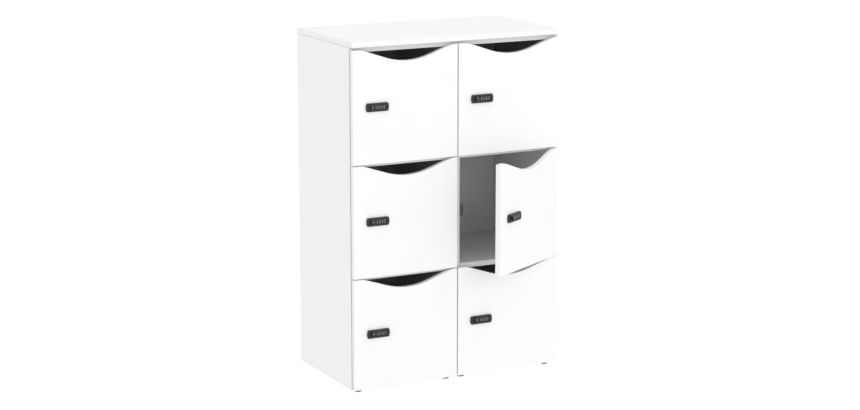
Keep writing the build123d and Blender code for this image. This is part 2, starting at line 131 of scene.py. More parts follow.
def between(tree, factor, low, high):
    """A factor from 0.3 to 0.7, spread from low to high: numbers or hex colours."""
    inputs = {"Value": factor, "From Min": 0.3, "From Max": 0.7}
    if not isinstance(low, str):
        return add(tree, "MapRange", {**inputs, "To Min": low, "To Max": high}).outputs[0]
    spread = add(tree, "MapRange", inputs).outputs[0]
    colours = {0: spread, 6: linear(low), 7: linear(high)}
    return add(tree, "Mix", colours, data_type="RGBA").outputs[2]


def melamine(name, dark, light):
    """Decor paper and resin, pressed against a finely pitted steel plate: a satin film with a
    pearl grain, an almost even colour and a gloss that handling has made slightly uneven."""

    def sockets(tree, place):
        grain = add(tree, "TexNoise", {"Vector": place, "Scale": 1 / PEARL_GRAIN}).outputs[0]
        wiped = add(tree, "TexNoise", {"Vector": place, "Scale": 1 / HANDLING, "Detail": 4.0}).outputs[0]
        return {
            "Base Color": between(tree, wiped, dark, light),
            "Roughness": between(tree, wiped, 0.42, 0.5),
            "Normal": add(tree, "Bump", {"Height": grain, "Distance": PEARL_RELIEF}).outputs[0],
        }

    return finish(name, 1.5, 0.0, sockets)


white_melamine = melamine("white_melamine", "#ecedee", "#eeeff0")
# Painted shade: this grey on the inner faces stands in for the dark inside of the compartments.
painted_shade_melamine = melamine("painted_shade_melamine", "#d2d3d4", "#d5d6d7")


def edging(name, dark, light):
    """ABS strip: a little glossier than the faces, with fine marks of the scraper across it."""

    def sockets(tree, place):
        marks = add(tree, "Mapping", {"Vector": place, "Scale": (1.0, 1.0, 0.15)}).outputs[0]
        scraped = add(tree, "TexNoise", {"Vector": marks, "Scale": 1 / (2.5 * MM)}).outputs[0]
        return {
            "Base Color": between(tree, scraped, dark, light),
            "Roughness": between(tree, scraped, 0.3, 0.38),
            "Normal": add(tree, "Bump", {"Height": scraped, "Distance": 0.01 * MM}).outputs[0],
        }

    return finish(name, 1.53, 0.0, sockets)


# Painted shade: this grey on the carcass's front edges darkens the gaps between the doors.
painted_shade_edging = edging("painted_shade_abs_edging", "#cdcecf", "#d1d2d3")
CARCASS_BOARD = (painted_shade_edging, white_melamine, painted_shade_melamine)


def loft(rings, closed=False, slots=(0, 0, 0)):
    """A skin over rings of points. Quads join each ring to the next; the first and last ring are
    filled in, or joined to each other if closed. slots are the materials of skin, first, last."""
    rings = np.asarray(rings, float)
    count, around = rings.shape[:2]
    index = np.arange(count * around).reshape(count, around)
    rows = np.vstack([index, index[:1]]) if closed else index
    low, high = rows[:-1], rows[1:]
    quads = np.stack([low, np.roll(low, -1, 1), np.roll(high, -1, 1), high], -1)
    blocks = [(quads.reshape(-1, 4), slots[0])]
    if not closed:
        blocks += [(index[:1, ::-1], slots[1]), (index[-1:], slots[2])]
    return rings.reshape(-1, 3), blocks


def stack(outlines, heights, facing, origin, closed=False, slots=(0, 0, 0)):
    """Flat outlines one above another, at their heights in the direction they face."""
    outlines = np.asarray(outlines, float)
    rise = np.broadcast_to(np.reshape(heights, (-1, 1, 1)), (*outlines.shape[:2], 1))
    local = np.concatenate([outlines, rise], -1)
    return loft(local @ np.array(FACING[facing]) + np.array(origin), closed, slots)


def arris(radius, steps=3):
    """Pairs of inset and depth that go round a quarter circle, from a wall to its face."""
    turn = np.linspace(0, math.pi / 2, steps + 1)
    return np.stack([radius * (1 - np.cos(turn)), radius * (1 - np.sin(turn))], -1)


def slab(outline, low, high, rim, facing, origin=(0, 0, 0), slots=(0, 0, 0), low_rim=None):
    """A flat piece from low to high. Near each face the outline steps in along the mitred normals
    of its corners, by the insets of that face's rim."""
    edge = np.roll(outline, -1, 0) - outline
    normal = np.stack([edge[:, 1], -edge[:, 0]], -1) / np.linalg.norm(edge, axis=1, keepdims=True)
    before = np.roll(normal, 1, 0)
    mitre = (normal + before) / (1 + (normal * before).sum(1, keepdims=True))
    lower = (rim if low_rim is None else low_rim)[::-1]
    inset = np.concatenate([lower[:, 0], rim[:, 0]])
    heights = np.concatenate([low + lower[:, 1], high - rim[:, 1]])
    return stack(outline - inset[:, None, None] * mitre, heights, facing, origin, slots=slots)


def rectangle(low_u, high_u, low_v, high_v):
    """The corners of a rectangle, counter-clockwise."""
    return np.array([(low_u, low_v), (high_u, low_v), (high_u, high_v), (low_u, high_v)])


def mesh_of(name, shells, materials):
    """One mesh out of closed shells, smooth where its faces meet at less than 40 degrees."""
    mesh = bpy.data.meshes.new(name)
    faces, slots, start = [], [], 0
    for points, blocks in shells:
        for corners, slot in blocks:
            faces += (corners + start).tolist()
            slots += [slot] * len(corners)
        start += len(points)
    mesh.from_pydata(np.concatenate([points for points, _ in shells]).tolist(), [], faces)
    for material in materials:
        mesh.materials.append(material)
    mesh.polygons.foreach_set("material_index", slots)
    return smooth(mesh)


def smooth(mesh):
    """Shades a mesh smooth, apart from its sharp edges."""
    mesh.polygons.foreach_set("use_smooth", [True] * len(mesh.polygons))
    mesh.set_sharp_from_angle(angle=math.radians(40))
    return mesh


def fitted(name, mesh, slot, body, *nodes):
    """Puts a finished mesh on its body in place of CAD nodes. Large faces keep their own normals,
    so that the light turns only on the rounded edges."""
    piece = bpy.data.objects.new(name, mesh)
    bpy.context.scene.collection.objects.link(piece)
    weighted = piece.modifiers.new("Weighted normals", "WEIGHTED_NORMAL")
    weighted.keep_sharp = True
    if body:
        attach(piece, body)
    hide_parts(*nodes)
    return piece


edge_profile = np.concatenate([
    arris(ARRIS),
    [(EDGING - GLUE_LINE, 0), (EDGING, GLUE_LINE), (EDGING + GLUE_LINE, 0)],
])

modules = {}
for column in COLUMNS:
    low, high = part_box(f"{column}_module_sides")
    modules[column] = (low, high)
    outline = rectangle(low.y, high.y, low.z, high.z)
    shells = [
        slab(outline, low.x, low.x + BOARD, edge_profile, "right", slots=(0, 1, 2)),
        slab(outline, high.x - BOARD, high.x, edge_profile, "right", slots=(0, 2, 1)),
    ]
    mesh = mesh_of(f"{column}_sides", shells, CARCASS_BOARD)
    fitted(f"{column}_side_boards", mesh, "white_board", "carcass", f"{column}_module_sides")

CARCASS_FRONT = modules["left"][0].y
LEFT_WALL = {column: modules[column][0].x + BOARD for column in COLUMNS}
RIGHT_WALL = {column: modules[column][1].x - BOARD for column in COLUMNS}
MODULE_MIDDLE = {column: (LEFT_WALL[column] + RIGHT_WALL[column]) / 2 for column in COLUMNS}


# ---- Boards between the sides ----
# Bottom board, top board and two fixed shelves in each module, of the same melamine board. Only
# the front edge is banded; the others are held by dowels against sides and back.

FINE_ARRIS = arris(0.5 * MM, 2)


def cross_board(column, low_y, high_y, low_z, slots):
    """A level board between a module's sides."""
    outline = rectangle(LEFT_WALL[column], RIGHT_WALL[column], low_y, high_y)
    return slab(outline, low_z, low_z + BOARD, FINE_ARRIS, "up", slots=slots)


low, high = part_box("end_boards")
shells = [
    cross_board(column, low.y, high.y, height, slots)
    for column in COLUMNS
    for height, slots in ((low.z, (0, 1, 2)), (high.z - BOARD, (0, 2, 1)))
]
mesh = mesh_of("end_boards", shells, CARCASS_BOARD)
fitted("bottom_and_top_boards", mesh, "white_board", "carcass", "end_boards")

low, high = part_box("shelves")
shells = [
    cross_board(column, low.y, high.y, height, (0, 2, 2))
    for column in COLUMNS
    for height in (low.z, high.z - BOARD)
]
mesh = mesh_of("shelves", shells, CARCASS_BOARD)
fitted("fixed_shelves", mesh, "white_board", "carcass", "shelves")


# ---- Back panels ----
# A thin panel closes each module, let in between the sides and flush with their rear edges. It
# is lacquered fibreboard, white outside; its grey inner face is painted shade, standing in for the
# dark inside of the compartments.

low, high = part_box("back_panels")
shells = [
    slab(
        rectangle(LEFT_WALL[column], RIGHT_WALL[column], low.z, high.z),
        -high.y, -low.y, FINE_ARRIS, "front", slots=(1, 1, 2),
    )
    for column in COLUMNS
]
mesh = mesh_of("backs", shells, CARCASS_BOARD)
fitted("module_backs", mesh, "white_board", "carcass", "back_panels")


# ---- Cover top ----
# One 19 mm board across both modules, with white edging on all sides. It reaches forward over the
# doors, and screws from below hold it.

white_edging = edging("white_abs_edging", "#e9eaeb", "#ececed")
WHITE_BOARD = (white_edging, white_melamine)

low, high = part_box("cover_top")
outline = rectangle(low.x, high.x, low.y, high.y)
shells = [slab(outline, low.z, high.z, edge_profile, "up", slots=(0, 1, 1))]
fitted("cover_board", mesh_of("cover", shells, WHITE_BOARD), "white_board", "carcass", "cover_top")


# ---- Module connectors and cover screws ----
# Sleeve bolts with flat heads draw the two middle sides together. Pan-head screws go up through
# the top boards into the cover. Both are nickel-plated steel with a cross recess.

RECESS_SLOPE = 0.7  # width of the recess at its floor, of that at its mouth


def nickel_sockets(tree, place):
    """Bright nickel over pressed steel: warm white metal, with short drawing marks and a haze."""
    drawn = add(tree, "Mapping", {"Vector": place, "Scale": (1.0, 1.0, 6.0)}).outputs[0]
    marks = add(tree, "TexNoise", {"Vector": drawn, "Scale": 1 / (1.5 * MM), "Detail": 4.0}).outputs[0]
    haze = add(tree, "TexNoise", {"Vector": place, "Scale": 1 / (8 * MM)}).outputs[0]
    return {
        "Base Color": between(tree, haze, "#c3c0ba", "#cfccc6"),
        "Roughness": between(tree, marks, 0.2, 0.36),
        "Normal": add(tree, "Bump", {"Height": marks, "Distance": 0.008 * MM}).outputs[0],
    }


nickel = finish("nickel_plated_steel", 1.5, 1.0, nickel_sockets)


def cross_outline(reach, width, angle):
    """A cross in polar form: at each angle the nearer of the arm's end and the arm's side."""
    across = np.maximum(np.abs(np.cos(angle)), np.abs(np.sin(angle)))
    along = np.minimum(np.abs(np.cos(angle)), np.abs(np.sin(angle)))
    radius = np.minimum(reach / across, width / 2 / np.maximum(along, 1e-9))
    return np.stack([radius * np.cos(angle), radius * np.sin(angle)], -1)


def screw(origin, facing, head, rise, shaft, length):
    """A cross-recessed screw that faces out of its seat: shaft, domed head and recess are one
    stack of circles and crosses, with points where a cross has its twelve corners."""
    reach, width = 0.52 * head, 0.24 * head
    corner = math.atan2(width / 2, reach)
    midway = (corner + math.pi / 4) / 2
    quadrant = np.array([-corner, corner, midway, math.pi / 4, math.pi / 2 - midway])
    angle = (quadrant + np.arange(4)[:, None] * math.pi / 2).ravel()
    circle = np.stack([np.cos(angle), np.sin(angle)], -1)
    profile = np.array([
        (shaft * 0.6, -length), (shaft, -length * 0.9), (shaft, 0), (head * 0.96, 0), (head, rise * 0.15),
        (head, rise * 0.5), (head * 0.92, rise * 0.82), (head * 0.76, rise),
    ])
    cross = cross_outline(reach, width, angle)
    outlines = [*(profile[:, :1, None] * circle), cross, cross * RECESS_SLOPE]
    floor = rise - min(0.45 * head, 0.8 * rise)
    return stack(outlines, [*profile[:, 1], rise, floor], facing, origin)


CONNECTOR_HEAD = 8 * MM
CONNECTOR_RISE = 2 * MM
low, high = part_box("module_connectors")
shells = [
    screw((x, y, z), facing, CONNECTOR_HEAD, CONNECTOR_RISE, 3 * MM, BOARD * 0.98)
    for y in (low.y + CONNECTOR_HEAD, high.y - CONNECTOR_HEAD)
    for z in (low.z + CONNECTOR_HEAD, high.z - CONNECTOR_HEAD)
    for x, facing in ((RIGHT_WALL["left"], "left"), (LEFT_WALL["right"], "right"))
]
mesh = mesh_of("sleeve_bolts", shells, [nickel])
fitted("sleeve_bolts", mesh, "nickel_steel", "carcass", "module_connectors")

COVER_SCREW_HEAD = 4 * MM
COVER_SCREW_RISE = 2 * MM
COVER_SCREW_SPREAD = 130 * MM  # either side of a module's middle
low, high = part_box("cover_screws")
shells = [
    screw((x, y, low.z + COVER_SCREW_RISE), "down", COVER_SCREW_HEAD, COVER_SCREW_RISE, 2 * MM, 30 * MM)
    for column in COLUMNS
    for x in (MODULE_MIDDLE[column] - COVER_SCREW_SPREAD, MODULE_MIDDLE[column] + COVER_SCREW_SPREAD)
    for y in (low.y + COVER_SCREW_HEAD, high.y - COVER_SCREW_HEAD)
]
mesh = mesh_of("cover_screws", shells, [nickel])
fitted("top_board_screws", mesh, "nickel_steel", "carcass", "cover_screws")


# ---- Glide feet ----
# Injection-moulded polyethylene discs with a peg that is knocked into the bottom board. The sole
# is chamfered and a shallow groove runs round the side.

FOOT = 13 * MM
FOOT_INSET = 30 * MM
PEG = 4 * MM
PEG_LENGTH = 14 * MM


def foot_sockets(tree, place):
    """Black polyethylene with a soft satin skin, scuffed lighter where it slides."""
    skin = add(tree, "TexNoise", {"Vector": place, "Scale": 1 / (1.2 * MM), "Detail": 3.0}).outputs[0]
    scuffs = add(tree, "TexNoise", {"Vector": place, "Scale": 1 / (5 * MM), "Detail": 5.0}).outputs[0]
    return {
        "Base Color": between(tree, scuffs, "#161617", "#232325"),
        "Roughness": between(tree, scuffs, 0.45, 0.6),
        "Normal": add(tree, "Bump", {"Height": skin, "Distance": 0.02 * MM}).outputs[0],
    }


black_polyethylene = finish("black_polyethylene", 1.51, 0.0, foot_sockets)


def turned(profile, facing, origin, sides=32, closed=False, slots=(0, 0, 0)):
    """A profile of radius and height, turned about the direction it faces."""
    profile = np.asarray(profile, float)
    angle = np.arange(sides) * 2 * math.pi / sides
    circle = np.stack([np.cos(angle), np.sin(angle)], -1)
    return stack(profile[:, :1, None] * circle, profile[:, 1], facing, origin, closed, slots)


low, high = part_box("glide_feet")
disc_top = high.z - PEG_LENGTH
foot_profile = [
    (FOOT - 1.5 * MM, 0), (FOOT - 0.3 * MM, 1.0 * MM), (FOOT, 1.6 * MM), (FOOT, 7 * MM),
    (FOOT - 0.8 * MM, 7.8 * MM), (FOOT - 0.8 * MM, 8.8 * MM), (FOOT, 9.6 * MM),
    (FOOT, disc_top - 0.4 * MM), (FOOT - 0.4 * MM, disc_top), (PEG, disc_top), (PEG, high.z - 1 * MM),
    (PEG * 0.7, high.z),
]
shells = [
    turned(foot_profile, "up", (x, y, low.z))
    for column in COLUMNS
    for x in (modules[column][0].x + FOOT_INSET, modules[column][1].x - FOOT_INSET)
    for y in (low.y + FOOT, high.y - FOOT)
]
mesh = mesh_of("glides", shells, [black_polyethylene])
fitted("glides", mesh, "foot_plastic", "carcass", "glide_feet")


# ---- Hinge arms and plates ----
# Twelve arms of pressed steel on wing plates, screwed to each compartment's right-hand wall. Two
# adjusting screws show on an arm, and its nose dips into the cup in the door.

EAR_REACH = 29 * MM  # from a cup's middle to the end of its ears
PLATE_BACK = 37 * MM  # plate's middle behind the carcass front
PLATE_THICK = 3 * MM


def rounded(corners, radii, steps=4):
    """A polygon with its corners rounded. Each arc touches both edges and turns from one edge's
    normal to the next one's."""
    corners = np.asarray(corners, float)
    radii = np.broadcast_to(np.asarray(radii, float), len(corners))[:, None]
    back = np.roll(corners, 1, 0) - corners
    ahead = np.roll(corners, -1, 0) - corners
    back /= np.linalg.norm(back, axis=1, keepdims=True)
    ahead /= np.linalg.norm(ahead, axis=1, keepdims=True)
    half = np.arccos(np.clip((back * ahead).sum(1, keepdims=True), -1, 1)) / 2
    centre = corners + (back + ahead) / (2 * np.cos(half)) * radii / np.sin(half)
    start = corners + back * radii / np.tan(half) - centre
    bend = -np.sign(back[:, :1] * ahead[:, 1:] - back[:, 1:] * ahead[:, :1])
    turn = bend * (math.pi - 2 * half) * np.linspace(0, 1, steps + 1)
    x = start[:, :1] * np.cos(turn) - start[:, 1:] * np.sin(turn)
    y = start[:, :1] * np.sin(turn) + start[:, 1:] * np.cos(turn)
    return (np.stack([x, y], -1) + centre[:, None]).reshape(-1, 2)


def millimetres(*points):
    """Points given in millimetres."""
    return np.array(points, float) * MM


wing_outline = rounded(
    millimetres(
        (-24, -6.5), (-9, -6.5), (-9, -25), (9, -25), (9, -6.5), (22, -6.5),
        (22, 6.5), (9, 6.5), (9, 25), (-9, 25), (-9, 6.5), (-24, 6.5),
    ),
    millimetres(2, 3, 7, 7, 3, 2, 2, 3, 7, 7, 3, 2),
)

# Stations along an arm: place behind the carcass front, foot and top above the wall, half width
arm_stations = millimetres(
    (-8, 7.5, 13, 4), (-7.4, 6.4, 15, 4.7), (-6, 6, 16, 5), (-1, 6, 16, 5), (3, 3.2, 16, 6),
    (34, 3.2, 16, 6), (38, 3.2, 15, 6), (60, 3.2, 15, 6), (61.4, 3.6, 14.4, 5.6), (62, 4.6, 13, 4.8),
)


def hinge_arm(wall, height):
    """The pressed arm: a squarish ring, whose corners follow a fifth-power curve, is carried
    along the stations."""
    angle = np.arange(32) * math.pi / 16
    power = 5
    radius = (np.abs(np.cos(angle)) ** power + np.abs(np.sin(angle)) ** power) ** (-1 / power)
    place, foot, top, half = arm_stations[:, :, None].transpose(1, 0, 2)
    x = wall - (top + foot) / 2 - (top - foot) / 2 * radius * np.cos(angle)
    z = height + half * radius * np.sin(angle)
    return loft(np.stack([x, np.broadcast_to(CARCASS_FRONT + place, x.shape), z], -1))


ADJUSTERS = millimetres((17, 16), (46, 15))  # behind the carcass front, and above the wall
ADJUSTER_WASHER = millimetres((4.4, -1), (4.4, 0.3), (4.1, 0.6))


def hinge_fittings(wall, height):
    """An arm, its plate and its two adjusting screws with their washers."""
    shells = [
        hinge_arm(wall, height),
        slab(
            wing_outline, 0, PLATE_THICK, arris(0.6 * MM), "left",
            (wall, CARCASS_FRONT + PLATE_BACK, height),
        ),
    ]
    for place, top in ADJUSTERS:
        seat = (wall - top, CARCASS_FRONT + place, height)
        shells.append(turned(ADJUSTER_WASHER, "left", seat))
        on_washer = (seat[0] - ADJUSTER_WASHER[-1, 1], *seat[1:])
        shells.append(screw(on_washer, "left", 3.3 * MM, 1.2 * MM, 2.5 * MM, 2 * MM))
    return shells


HINGE_HEIGHTS = {}
for row in ROWS:
    low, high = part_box(f"left_{row}_hinge_cups")
    HINGE_HEIGHTS[row] = (low.z + EAR_REACH, high.z - EAR_REACH)

shells = []
for column in COLUMNS:
    for row in ROWS:
        for height in HINGE_HEIGHTS[row]:
            shells += hinge_fittings(RIGHT_WALL[column], height)
mesh = mesh_of("hinge_arms", shells, [nickel])
fitted("cup_hinge_arms", mesh, "nickel_steel", "carcass", "hinge_arms")


# ---- Lock strikes ----
# Six angles of 2 mm sheet steel on the left-hand walls, behind which the lock cams turn. They are
# powder-coated dark grey.

SHEET = 2 * MM
STRIKE_SETBACK = 12 * MM  # behind the carcass front
STRIKE_REACH = 20 * MM
STRIKE_LEG = 28 * MM
STRIKE_HEIGHT = 37 * MM


def powder_sockets(tree, place):
    """Baked powder paint: dark grey, with a soft orange-peel relief."""
    peel = add(tree, "TexNoise", {"Vector": place, "Scale": 1 / (1.4 * MM), "Detail": 1.0}).outputs[0]
    return {
        "Base Color": between(tree, peel, "#444548", "#4a4b4e"),
        "Roughness": between(tree, peel, 0.46, 0.56),
        "Normal": add(tree, "Bump", {"Height": peel, "Distance": 0.05 * MM}).outputs[0],
    }


powder_coat = finish("dark_powder_coat", 1.5, 0.0, powder_sockets)

strike_outline = rounded(
    [
        (0, 0), (STRIKE_REACH, 0), (STRIKE_REACH, SHEET),
        (SHEET, SHEET), (SHEET, STRIKE_LEG), (0, STRIKE_LEG),
    ],
    millimetres(2.4, 0.6, 0.6, 0.6, 0.6, 0.6),
)
LOCK_HEIGHTS = {}
for row in ROWS:
    low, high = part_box(f"left_{row}_lock_case")
    LOCK_HEIGHTS[row] = (low.z + high.z) / 2

shells = [
    slab(
        strike_outline, -STRIKE_HEIGHT / 2, STRIKE_HEIGHT / 2, arris(0.5 * MM), "up",
        (LEFT_WALL[column], CARCASS_FRONT + STRIKE_SETBACK, LOCK_HEIGHTS[row]),
    )
    for column in COLUMNS
    for row in ROWS
]
mesh = mesh_of("strikes", shells, [powder_coat])
fitted("strike_angles", mesh, "dark_steel", "carcass", "lock_strikes")


# ---- System screws ----
# Thirty-six short steel screws for board, two in each hinge plate and two in each strike.

SYSTEM_HEAD = 4.5 * MM
SYSTEM_RISE = 2 * MM
PLATE_SCREWS = (-16 * MM, 16 * MM)  # above a hinge arm's middle
STRIKE_SCREWS = (-10 * MM, 10 * MM)
STRIKE_SCREW_BACK = STRIKE_SETBACK + STRIKE_LEG - 10 * MM
shells = []
for column in COLUMNS:
    for row in ROWS:
        places = [
            (RIGHT_WALL[column] - PLATE_THICK, PLATE_BACK, height + offset, "left")
            for height in HINGE_HEIGHTS[row]
            for offset in PLATE_SCREWS
        ]
        places += [
            (LEFT_WALL[column] + SHEET, STRIKE_SCREW_BACK, LOCK_HEIGHTS[row] + offset, "right")
            for offset in STRIKE_SCREWS
        ]
        shells += [
            screw((x, CARCASS_FRONT + back, z), facing, SYSTEM_HEAD, SYSTEM_RISE, 3.1 * MM, 13 * MM)
            for x, back, z, facing in places
        ]
mesh = mesh_of("system_screws", shells, [nickel])
fitted("fitting_screws", mesh, "nickel_steel", "carcass", "system_screws")


# ---- Doors ----
# Six 18 mm melamine boards, white on both sides and edged all round. The top edge dips in one
# wide wave as mail slot and finger pull. The back is bored for two hinge cups, and the lock's
# body goes through a rectangular cut.

WAVE_MIDDLE = 206 * MM  # from the free edge
WAVE_DEPTH = 44 * MM
WAVE_SLOPE = 18.6  # degrees from level, of the straight flanks
WAVE_RADIUS = 250 * MM
WAVE_SHOULDER = 60 * MM
PIVOT_INSET = 3 * MM  # of the hinge line from the door's front and from its edge
CUP = 17.5 * MM
CUP_FROM_EDGE = 22 * MM
CUP_DEPTH = 12.5 * MM
LOCK_BODY = (70 * MM, 22 * MM)

low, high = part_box("left_top_door")
door_size = high - low
door_low = low
lock_low, lock_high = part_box("left_top_lock_case")
LOCK_MIDDLE = (
    (lock_low.x + lock_high.x) / 2 - door_low.x, 0, (lock_low.z + lock_high.z) / 2 - door_low.z
)
CUP_MIDDLES = [
    (door_size.x - CUP_FROM_EDGE, BOARD, height - door_low.z) for height in HINGE_HEIGHTS["top"]
]

hinge_joints = {joint["child"]: joint for joint in frame["joints"] if "door_hinge" in joint["name"]}


def door_place(door):
    """Where a door's own frame lies: x from its free edge, y back from its front face, z up from
    its lower edge, turned about the hinge line by as much as it is open at rest."""
    joint = hinge_joints[f"{door}_leaf"]
    pivot = Vector(joint["pos_m"])
    pivot.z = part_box(f"{door}_door")[0].z
    opening = Matrix.Rotation(math.radians(-joint["range_deg"][0]), 4, "Z")
    inset = Vector((PIVOT_INSET - door_size.x, -PIVOT_INSET, 0))
    return Matrix.Translation(pivot) @ opening @ Matrix.Translation(inset)


PLACES = {door: door_place(door) for door in DOORS}


def on_doors(label, mesh, slot, body, node):
    """One copy of a piece on each door. It rides on that door's body and replaces its node."""
    for door, place in PLACES.items():
        copy = mesh.copy()
        copy.transform(place)
        fitted(f"{door}_{label}", copy, slot, f"{door}_{body}", f"{door}_{node}")


def arc(centre, radius, start, end, steps):
    """Points on a circle, from one angle in degrees to another."""
    angle = np.radians(np.linspace(start, end, steps + 1))
    return np.stack([centre[0] + radius * np.cos(angle), centre[1] + radius * np.sin(angle)], -1)


def door_outline():
    """A rectangle whose top edge dips in a wide V, rounded at its three corners. The square
    corners have arcs of no radius, and keep one point of them."""
    top = door_size.z
    slope = math.radians(WAVE_SLOPE)
    valley = WAVE_DEPTH + WAVE_RADIUS * (1 / math.cos(slope) - 1)
    reach = valley / math.tan(slope)
    corners = [
        (0, 0), (door_size.x, 0), (door_size.x, top), (WAVE_MIDDLE + reach, top),
        (WAVE_MIDDLE, top - valley), (WAVE_MIDDLE - reach, top), (0, top),
    ]
    radii = (0, 0, 0, WAVE_SHOULDER, WAVE_RADIUS, WAVE_SHOULDER, 0)
    arcs = rounded(corners, radii, 36).reshape(len(corners), -1, 2)
    return np.concatenate([arcs[:3, 0], arcs[3, ::6], arcs[4], arcs[5, ::6], arcs[6:, 0]])


def carved(mesh, tools):
    """What is left of a mesh when other closed shells are cut out of it."""
    objects = [bpy.data.objects.new("carving", data) for data in (mesh, mesh_of("tools", tools, []))]
    for item in objects:
        bpy.context.scene.collection.objects.link(item)
    cut = objects[0].modifiers.new("Cut", "BOOLEAN")
    cut.object = objects[1]
    cut.solver = "EXACT"
    cut.use_self = True
    graph = bpy.context.evaluated_depsgraph_get()
    left = bpy.data.meshes.new_from_object(objects[0].evaluated_get(graph))
    for item in objects:
        bpy.data.objects.remove(item)
    return smooth(left)


SQUARE = arris(0.02 * MM, 1)
LOCK_CUT = (LOCK_BODY[0] / 2 + 0.4 * MM, LOCK_BODY[1] / 2 + 0.4 * MM)
tools = [
    turned([(CUP + 0.1 * MM, -CUP_DEPTH - 0.1 * MM), (CUP + 0.1 * MM, BOARD)], "back", middle, 48)
    for middle in CUP_MIDDLES
]
tools.append(
    slab(
        rectangle(-LOCK_CUT[0], LOCK_CUT[0], -LOCK_CUT[1], LOCK_CUT[1]),
        -2 * BOARD, BOARD, SQUARE, "front", LOCK_MIDDLE,
    )
)
door_board = slab(door_outline(), -BOARD, 0, edge_profile, "front", slots=(0, 1, 1))
door_mesh = carved(mesh_of("door", [door_board], WHITE_BOARD), tools)
on_doors("door_panel", door_mesh, "white_board", "leaf", "door")


# ---- Hinge cups ----
# Pressed steel cups of 35 mm with an ear above and below, let into the door's back and held by
# two countersunk screws. Two pins across the cup carry the links.

CUP_WALL = 1 * MM
FLANGE = 1.2 * MM
FLANGE_REACH = 2 * MM
EAR_HALF = 6.5 * MM
PIN = 1.6 * MM
CUP_SCREWS = (-24 * MM, 24 * MM)  # above a cup's middle
PINS = millimetres((-7.5, -8.5), (7.5, -6))  # across the door from the cup's middle, and height


def cup_shell(middle):
    """The cup as one stack of rings, outside and inside. The flange's ring is a smooth maximum of
    a circle and of a tall superellipse, which makes the ears."""
    angle = np.arange(64) * math.pi / 32
    circle = np.stack([np.cos(angle), np.sin(angle)], -1)
    ear = (np.abs(np.cos(angle) / EAR_HALF) ** 4 + np.abs(np.sin(angle) / EAR_REACH) ** 4) ** -0.25
    radius = ((CUP + FLANGE_REACH) ** 8 + ear**8) ** (1 / 8)
    radius = radius * EAR_REACH / radius.max()
    flange = circle * radius[:, None]
    inner = CUP - CUP_WALL
    edge = 0.3 * MM
    outlines = [
        circle * (CUP - 2 * MM), circle * CUP, circle * CUP, flange * 0.99, flange, flange, flange * 0.985,
        circle * (inner + 0.8 * MM), circle * inner, circle * inner, circle * (inner - 2.5 * MM),
    ]
    heights = [
        -CUP_DEPTH, -CUP_DEPTH + 2 * MM, 0, 0, edge, FLANGE - edge, FLANGE,
        FLANGE, FLANGE - 0.8 * MM, CUP_WALL + 2.5 * MM - CUP_DEPTH, CUP_WALL - CUP_DEPTH,
    ]
    return stack(outlines, heights, "back", middle)


shells = []
for middle in CUP_MIDDLES:
    x, y, z = middle
    shells.append(cup_shell(middle))
    for offset in CUP_SCREWS:
        seat = (x, y + FLANGE, z + offset)
        shells.append(screw(seat, "back", 3.2 * MM, 0.6 * MM, 1.8 * MM, 10 * MM))
    for across, depth in PINS:
        pin_end = math.sqrt((CUP - CUP_WALL) ** 2 - across**2) - 0.2 * MM
        pin = [(PIN, -pin_end), (PIN, pin_end)]
        shells.append(turned(pin, "up", (x + across, y + depth, z), 16))
on_doors("cups", mesh_of("cups", shells, [nickel]), "nickel_steel", "leaf", "hinge_cups")


# ---- Hinge links ----
# Two curved steel links join each arm to its cup. Each is bent along its length from the carcass
# to the door, as far as the door stands open at rest.

LINK_SECTION = rounded(millimetres((-0.7, -4), (0.7, -4), (0.7, 4), (-0.7, 4)), 0.3 * MM, 2)
ARM_END = 17 * MM  # behind the door's front, inside the arm's nose
LINK_START = (16 * MM, 14 * MM)  # of the outer and of the inner link, before the wall
LINK_SAG = 1.5 * MM
LINK_POINTS = 9


def swept(path, outline):
    """An upright outline carried along a level path. Its first axis is square to the path's
    tangent and its second is vertical."""
    tangent = np.gradient(path, axis=0)
    tangent /= np.linalg.norm(tangent, axis=1, keepdims=True)
    across = np.stack([-tangent[:, 1], tangent[:, 0], np.zeros(len(path))], -1)
    offset = outline[None, :, :1] * across[:, None] + outline[None, :, 1:] * np.array((0, 0, 1))
    return loft(path[:, None] + offset)


def link_path(start, end, height, opening):
    """A shallow curve from arm to pin on the shut door. Each point is then turned about the hinge
    line by the share of the opening that its distance along the link gives it."""
    share = np.linspace(0, 1, LINK_POINTS)[:, None]
    sag = np.array([(0.0, -LINK_SAG)]) * np.sin(share * math.pi)
    flat = np.array([start]) * (1 - share) + np.array([end]) * share + sag
    pivot = np.array([(door_size.x - PIVOT_INSET, PIVOT_INSET)])
    turn = (share * share * (3 - 2 * share) * opening)[:, 0]
    x, y = (flat - pivot).T
    turned_x = x * np.cos(turn) - y * np.sin(turn)
    turned_y = x * np.sin(turn) + y * np.cos(turn)
    level = np.stack([turned_x, turned_y], -1) + pivot
    return np.concatenate([level, np.full((LINK_POINTS, 1), height)], 1)


pivot = Vector((door_size.x - PIVOT_INSET, PIVOT_INSET, 0))
for door, place in PLACES.items():
    opening = math.radians(-hinge_joints[f"{door}_leaf"]["range_deg"][0])
    shut = Matrix.Translation(place @ pivot - pivot)
    wall = RIGHT_WALL[door.split("_")[0]] - shut.translation.x
    paths = [
        link_path((wall - before, ARM_END), (x + across, y + depth), z, opening)
        for x, y, z in CUP_MIDDLES
        for before, (across, depth) in zip(LINK_START, PINS)
    ]
    mesh = mesh_of("links", [swept(path, LINK_SECTION) for path in paths], [nickel])
    mesh.transform(shut)
    links = fitted(f"{door}_hinge_links", mesh, "nickel_steel", None)
    at_arms, at_cups = (shut @ Vector(sum(path[end] for path in paths) / 4) for end in (0, -1))
    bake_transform(links)
    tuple(at_arms)
    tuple(at_cups)


# ---- Lock case ----
# The lock is moulded in black ABS: a face plate with bulging ends, a body through the door and a
# barrel round the spindle. Four windows let the dials through, and a moulded ring ends the face.

